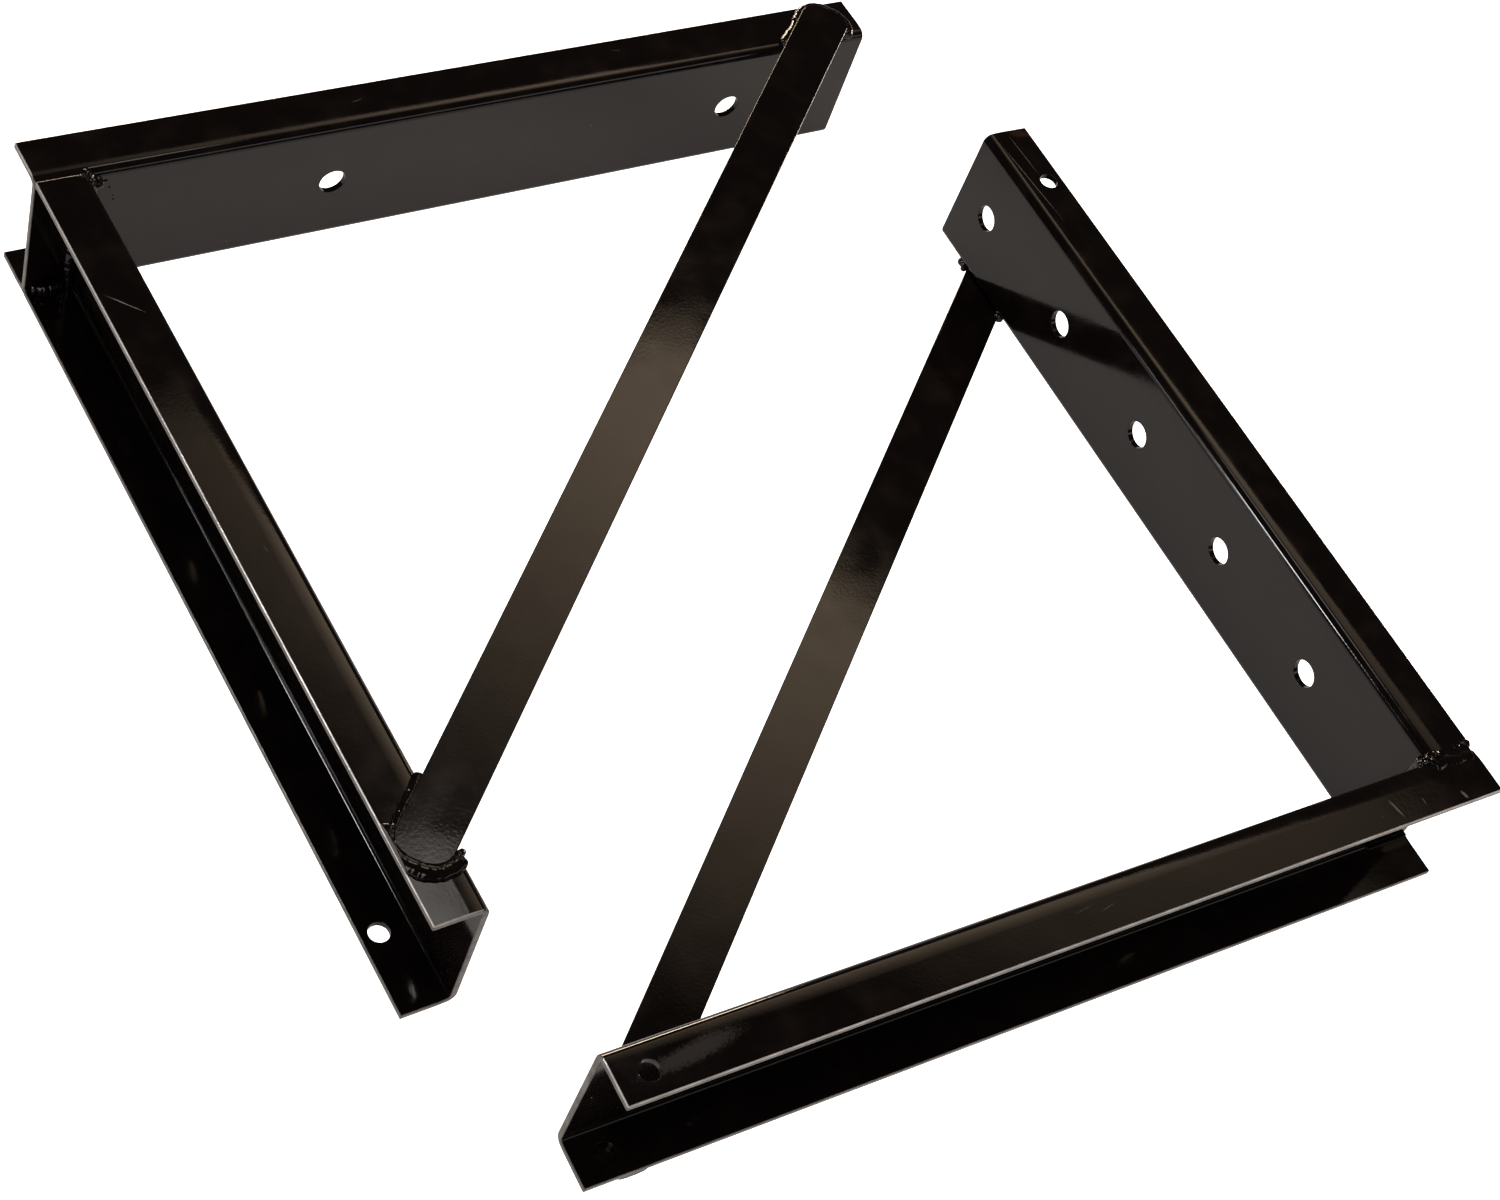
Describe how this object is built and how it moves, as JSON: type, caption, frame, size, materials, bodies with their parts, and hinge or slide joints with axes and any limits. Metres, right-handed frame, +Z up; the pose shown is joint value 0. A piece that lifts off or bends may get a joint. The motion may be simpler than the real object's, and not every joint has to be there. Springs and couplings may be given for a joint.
{
  "type": "roof bracket",
  "caption": "Mirrored pair of welded triangular brackets: two formed channels at a square corner, closed by a flat bar brace, for fixing staging timbers on a roof",
  "frame": {"origin": "middle of the pair's footprint, on the surface that both brackets lie on", "axes": "+Z up from that surface; +X along the left bracket's arm, away from its corner; the left bracket's leg runs along -Y; the right bracket is turned 178 degrees about +Z"},
  "size_m": [0.7578, 0.8166, 0.118],
  "materials": {
    "enamelled_plate": "gloss black enamel, baked on formed steel",
    "enamelled_weld": "gloss black enamel, over rippled weld beads"
  },
  "bodies": {
    "left_bracket": {"left_arm_channel": "enamelled_plate", "left_leg_channel": "enamelled_plate", "left_brace_bar": "enamelled_plate", "left_brace_weld_arm_side": "enamelled_weld", "left_brace_weld_arm_end": "enamelled_weld", "left_brace_weld_leg_side": "enamelled_weld", "left_brace_weld_leg_end": "enamelled_weld", "left_corner_weld_brace_side": "enamelled_weld", "left_corner_weld_far_side": "enamelled_weld", "left_corner_weld_web": "enamelled_weld", "left_corner_weld_flange": "enamelled_weld", "left_corner_tack_brace_side": "enamelled_weld", "left_corner_tack_far_side": "enamelled_weld"},
    "right_bracket": {"right_arm_channel": "enamelled_plate", "right_leg_channel": "enamelled_plate", "right_brace_bar": "enamelled_plate", "right_brace_weld_arm_side": "enamelled_weld", "right_brace_weld_arm_end": "enamelled_weld", "right_brace_weld_leg_side": "enamelled_weld", "right_brace_weld_leg_end": "enamelled_weld", "right_corner_weld_brace_side": "enamelled_weld", "right_corner_weld_far_side": "enamelled_weld", "right_corner_weld_web": "enamelled_weld", "right_corner_weld_flange": "enamelled_weld", "right_corner_tack_brace_side": "enamelled_weld", "right_corner_tack_far_side": "enamelled_weld"}
  },
  "joints": [
    {"name": "right_bracket_lift", "type": "slide", "parent": "left_bracket", "child": "right_bracket", "axis": [0, 0, 1], "range_m": [0, 0.3]}
  ]
}
